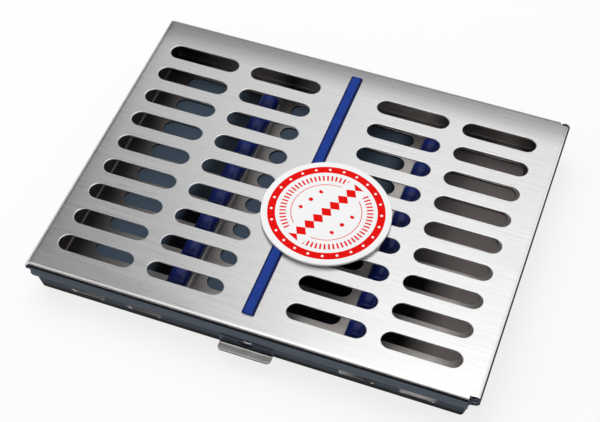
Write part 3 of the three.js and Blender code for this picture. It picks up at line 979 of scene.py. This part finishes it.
roll_end = math.pi / 2 - 2 * math.pi * roll_share
roll_outline = (
    [(hinge_x - roll_tab, lid_top)]
    + arc(hinge_x, hinge_z, barrel_radius, math.pi / 2, roll_end, roll_steps)
    + arc(hinge_x, hinge_z, eye_radius, roll_end, math.pi / 2, roll_steps)
    + [(hinge_x - roll_tab, lid_underside)]
)
work(lid_sheet, welded, bar("roll_tool", roll_outline, barrel_front, barrel_back, "Y"))

for offset in (-outer_offset, -inner_offset, inner_offset, outer_offset):
    outline = slot_outline(lid_slot, slot_width, strip_x + offset)
    tool = bar("lid_slot_tool", outline, lid_underside - reach_over, lid_top + reach_over, "Z")
    work(lid_sheet, punched, tool, (0, first_row, 0), (0, row_pitch, 0), row_count)

strip_web = 0.0024
strip_slot_margin = 0.0035
web_play = 0.0003
strip_low, strip_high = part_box("hold_down_strip")
strip_slot = slot_outline(
    strip_high.y - strip_low.y - 2 * strip_slot_margin,
    strip_web + 2 * web_play,
    (strip_low.y + strip_high.y) / 2,
    strip_x,
)
strip_slot_tool = bar(
    "strip_slot_tool",
    [(x, y) for y, x in strip_slot],
    lid_underside - reach_over,
    lid_top + reach_over,
    "Z",
)
work(lid_sheet, punched, strip_slot_tool)

for corner_y, lean in ((front, 1), (back, -1)):
    ends = sorted((corner_y - lean * reach_over, corner_y + lean * lid_bend))
    slant = [
        (left - reach_over, fold_height),
        (left, fold_height),
        (left + corner_cut, flange_foot - reach_over),
        (left - reach_over, flange_foot - reach_over),
    ]
    work(lid_sheet, punched, bar("slant_tool", slant, *ends, "Y"))
    slant = [(corner_y + lean * (x - left), z) for x, z in slant]
    ends = (left - reach_over, left + lid_bend)
    work(lid_sheet, punched, bar("slant_tool", slant, *ends, "X"))
round_edges(lid_sheet, punched_edge_round)
make_plain(lid_sheet)
# Painted shade and reflection: the fold's outer faces take near-black steel and the flanges dark slate
# steel.
paint_shade_or_glint(lid_sheet, fold_steel, lambda face: outer_side(face, fold_lean))
paint_shade_or_glint(lid_sheet, side_steel, lambda face: outer_side(face, flange_lean))
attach(lid_sheet, "lid")
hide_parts("lid")


# Latch tongue: a spring tongue that hangs from the front flange. Its hole snaps over the dimple
# in the tray, and its foot is bent out to a lip for a finger.
tongue_low, tongue_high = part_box("latch_tongue")
lip_bend = 0.0016
lip_corner = 0.0017
catch_hole_length = 0.0056
catch_hole_height = 0.0028
tongue_edge_round = 0.00028
hole_rim_lean = 0.9
lip_rim_lean = 0.7
tongue_grain = (500, 2400, 2400)
tongue_colours = [(0.60, 0.58, 0.56), (0.78, 0.76, 0.74)]
tongue_gloss = (0.46, 0.05)

tongue_steel = brushed_steel("tongue_steel", tongue_colours, tongue_gloss, tongue_grain)
tongue_back = tongue_high.y
fold_y = tongue_back - lip_bend
fold_z = tongue_low.z + lip_bend
tongue_profile = (
    [(front, tongue_high.z)]
    + arc(fold_y, fold_z, lip_bend - sheet, 0, -math.pi / 2, bend_steps)
    + [(tongue_low.y, tongue_low.z + sheet), (tongue_low.y, tongue_low.z)]
    + arc(fold_y, fold_z, lip_bend, -math.pi / 2, 0, bend_steps)
    + [(tongue_back, tongue_high.z)]
)
tongue = bar("tongue", tongue_profile, tongue_low.x, tongue_high.x, "X", tongue_steel)
tongue_plan = rounded_outline(
    tongue_low.x,
    tongue_high.x,
    tongue_low.y,
    tongue_back + 2 * lip_corner,
    lip_corner,
    corner_steps,
)
work(tongue, trimmed, bar("plan_tool", tongue_plan, 0, lid_top, "Z"))
catch_hole = slot_outline(catch_hole_length, catch_hole_height, tray_middle, catch_z)
work(tongue, punched, bar("catch_hole_tool", catch_hole, 2 * front, 0, "Y"))
round_edges(tongue, tongue_edge_round)
make_plain(tongue)


def shade_rim(face):
    """Faces with painted shade: the rim of the catch hole, and the outer rim of the lip."""
    if face.center.z <= fold_z:
        return outer_side(face, lip_rim_lean)
    from_hole = Vector((face.center.x - tray_middle, face.center.z - catch_z)).length
    return from_hole < catch_hole_length / 2 and abs(face.normal.y) < hole_rim_lean


# Painted shade and reflection: the tongue's upright part takes the flanges' dark slate, and the rims of
# its hole and lip near black.
paint_shade_or_glint(tongue, side_steel, lambda face: face.center.z > fold_z)
paint_shade_or_glint(tongue, fold_steel, shade_rim)
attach(tongue, "latch")
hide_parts("latch_tongue")


# Hold-down strip: a blue silicone strip of H section. Its web is pressed through the long slot in
# the lid, so that its head lies on the lid and its foot bears on the instruments.
strip_width = 0.0050
strip_head_round = 0.0003
strip_head_slope = math.radians(50)
strip_head_inset = 0.0007
flank_lean = 0.45
strip_foot_round = 0.0016
strip_colours = [(0.006, 0.031, 0.22), (0.008, 0.040, 0.27)]
strip_roughness = 0.45
# Painted shade: a darker copy of the strip's blue for the flanks of its head.
flank_shade_colours = [(0.002, 0.009, 0.065), (0.003, 0.012, 0.085)]
flank_roughness = 0.50
strip_shine = 0.12

strip_silicone = silicone("strip_silicone", strip_colours, strip_roughness, strip_shine)
strip_flank = silicone("strip_flank", flank_shade_colours, flank_roughness, strip_shine)
web_half = strip_web / 2
foot_x = strip_high.x - strip_foot_round
foot_z = strip_low.z + strip_foot_round
head_x = strip_x + strip_width / 2
head_low_z = lid_top + strip_head_round
head_high_z = strip_high.z - strip_head_round
flank_x = head_x - strip_head_round
crown_x = flank_x - strip_head_inset
strip_outline = (
    arc(foot_x, foot_z, strip_foot_round, -math.pi / 2, 0, bend_steps)
    + [(strip_high.x, lid_underside), (strip_x + web_half, lid_underside)]
    + [(strip_x + web_half, lid_top), (head_x, lid_top)]
    + arc(flank_x, head_low_z, strip_head_round, 0, strip_head_slope, bend_steps)
    + arc(crown_x, head_high_z, strip_head_round, strip_head_slope, math.pi / 2, bend_steps)
)
strip_outline += [(2 * strip_x - x, z) for x, z in reversed(strip_outline)]
strip = bar("strip", strip_outline, strip_low.y, strip_high.y, "Y", strip_silicone)
end_gap = [
    (strip_low.x - reach_over, lid_underside),
    (strip_high.x + reach_over, lid_underside),
    (strip_high.x + reach_over, lid_top),
    (strip_low.x - reach_over, lid_top),
]
gap_length = strip_slot_margin + web_play + web_half
for end_y, ends in ((strip_low.y, (-reach_over, gap_length)), (strip_high.y, (-gap_length, reach_over))):
    work(strip, punched, bar("end_gap_tool", end_gap, *ends, "Y"), (0, end_y, 0))
round_edges(strip, cut_edge_round)
make_plain(strip)
# Painted shade on the flanks of the strip's head.
paint_shade_or_glint(
    strip,
    strip_flank,
    lambda face: face.center.z > lid_top and abs(face.normal.x) > flank_lean,
)
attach(strip, "lid")
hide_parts("hold_down_strip")


# Round label: a thick white card disc that is glued on the lid's strip, printed in red with a plain
# dotted ring, a ring of strokes, a fine circle, a row of lozenges and some spots.
label_low, label_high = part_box("round_label")
label_radius = (label_high.x - label_low.x) / 2
label_x = (label_low.x + label_high.x) / 2
label_y = (label_low.y + label_high.y) / 2
label_edge_round = 0.0003
label_sides = 128
card_white = (0.90, 0.90, 0.90)
print_red = (0.78, 0.004, 0.003)
ring_middle = 0.84
ring_half = 0.06
ring_dots = 24
dot_size = 0.021
stroke_middle = 0.665
stroke_half = 0.05
stroke_count = 64
stroke_width = 0.014
circle_place = 0.54
circle_half = 0.006
row_angle = math.radians(63)
row_reach = 0.70
row_lozenge = 0.088
row_half = 0.11
row_margin = 1.7
spot_row = 0.34
spot_step = 0.11
spot_reach = 0.24
spot_size = 0.035
print_depth = 0.0004
fibre_rate = 900
fibre_bump = (0.08, 0.00005)
card_roughness = 0.5
card_shine = 0.06

label_card, card_tree, card_shader = new_material("label_card")


def number(operation, *values):
    """One Math node over numbers and other nodes' values."""
    node = card_tree.nodes.new("ShaderNodeMath")
    node.operation = operation
    for socket, value in zip(node.inputs, values):
        if isinstance(value, float):
            socket.default_value = value
        else:
            card_tree.links.new(value, socket)
    return node.outputs[0]


def weighed(a, a_share, b, b_share):
    """The sum of two values, each by its share."""
    return number("ADD", number("MULTIPLY", a, a_share), number("MULTIPLY", b, b_share))


def distance(a, b):
    """How far a point lies from the origin of two directions."""
    return number("SQRT", weighed(a, a, b, b))


def both_of(a, b):
    """Where two forms of the print overlap."""
    return number("MULTIPLY", a, b)


def either_of(a, b):
    """Where there is one form of the print or the other."""
    return number("MAXIMUM", a, b)


place = card_tree.nodes.new("ShaderNodeTexCoord")
centred = card_tree.nodes.new("ShaderNodeMapping")
centred.inputs["Location"].default_value = (-label_x / label_radius, -label_y / label_radius, 0)
centred.inputs["Scale"].default_value = (1 / label_radius, 1 / label_radius, 0)
flat = card_tree.nodes.new("ShaderNodeSeparateXYZ")
height = card_tree.nodes.new("ShaderNodeSeparateXYZ")
card_tree.links.new(place.outputs["Object"], centred.inputs["Vector"])
card_tree.links.new(centred.outputs["Vector"], flat.inputs["Vector"])
card_tree.links.new(place.outputs["Object"], height.inputs["Vector"])
u, v = flat.outputs["X"], flat.outputs["Y"]
out = distance(u, v)
turn = number("ARCTAN2", v, u)

ring = number("COMPARE", out, ring_middle, ring_half)
from_dot = number("MULTIPLY", number("PINGPONG", turn, math.pi / ring_dots), ring_middle)
off_ring = number("SUBTRACT", out, ring_middle)
off_dots = number("GREATER_THAN", distance(from_dot, off_ring), dot_size)
dotted_ring = both_of(ring, off_dots)

row_u = weighed(u, math.cos(row_angle), v, math.sin(row_angle))
row_v = number("ABSOLUTE", weighed(v, math.cos(row_angle), u, -math.sin(row_angle)))
clear_of_row = number("GREATER_THAN", row_v, row_margin * row_half)

stroke_turn = number("MULTIPLY", number("PINGPONG", turn, math.pi / stroke_count), stroke_middle)
on_stroke = number("LESS_THAN", stroke_turn, stroke_width)
strokes = both_of(number("COMPARE", out, stroke_middle, stroke_half), on_stroke)
circle = number("COMPARE", out, circle_place, circle_half)
rings = both_of(either_of(strokes, circle), clear_of_row)

up_lozenge = number("DIVIDE", row_v, row_half)
along_lozenge = number("DIVIDE", number("PINGPONG", row_u, row_lozenge), row_lozenge)
in_lozenge = number("LESS_THAN", number("ADD", up_lozenge, along_lozenge), 1.0)
row = both_of(in_lozenge, number("COMPARE", row_u, 0.0, row_reach))

off_spot = distance(number("PINGPONG", row_u, spot_step), number("SUBTRACT", row_v, spot_row))
in_spot = number("LESS_THAN", off_spot, spot_size)
spots = both_of(in_spot, number("COMPARE", row_u, 0.0, spot_reach))

on_top = number("GREATER_THAN", height.outputs["Z"], label_high.z - print_depth)
drawn = either_of(either_of(dotted_ring, rings), either_of(row, spots))
ink = card_tree.nodes.new("ShaderNodeMixRGB")
ink.inputs["Color1"].default_value = (*card_white, 1)
ink.inputs["Color2"].default_value = (*print_red, 1)
card_tree.links.new(both_of(drawn, on_top), ink.inputs["Fac"])
card_tree.links.new(ink.outputs["Color"], card_shader.inputs["Base Color"])
raise_surface(card_tree, card_shader, unevenness(card_tree, fibre_rate, detail=4), *fibre_bump)
card_shader.inputs["Roughness"].default_value = card_roughness
card_shader.inputs["Specular IOR Level"].default_value = card_shine

disc = arc(label_x, label_y, label_radius, 0, 2 * math.pi * (1 - 1 / label_sides), label_sides - 1)
label = bar("label", disc, label_low.z, label_high.z, "Z", label_card)
round_edges(label, label_edge_round)
make_plain(label)
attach(label, "lid")
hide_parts("round_label")

# The cutting and joining tools have done their work and are taken out of the scene.
for tool in [thing for thing in bpy.data.objects if "_tool" in thing.name]:
    bpy.data.objects.remove(tool)
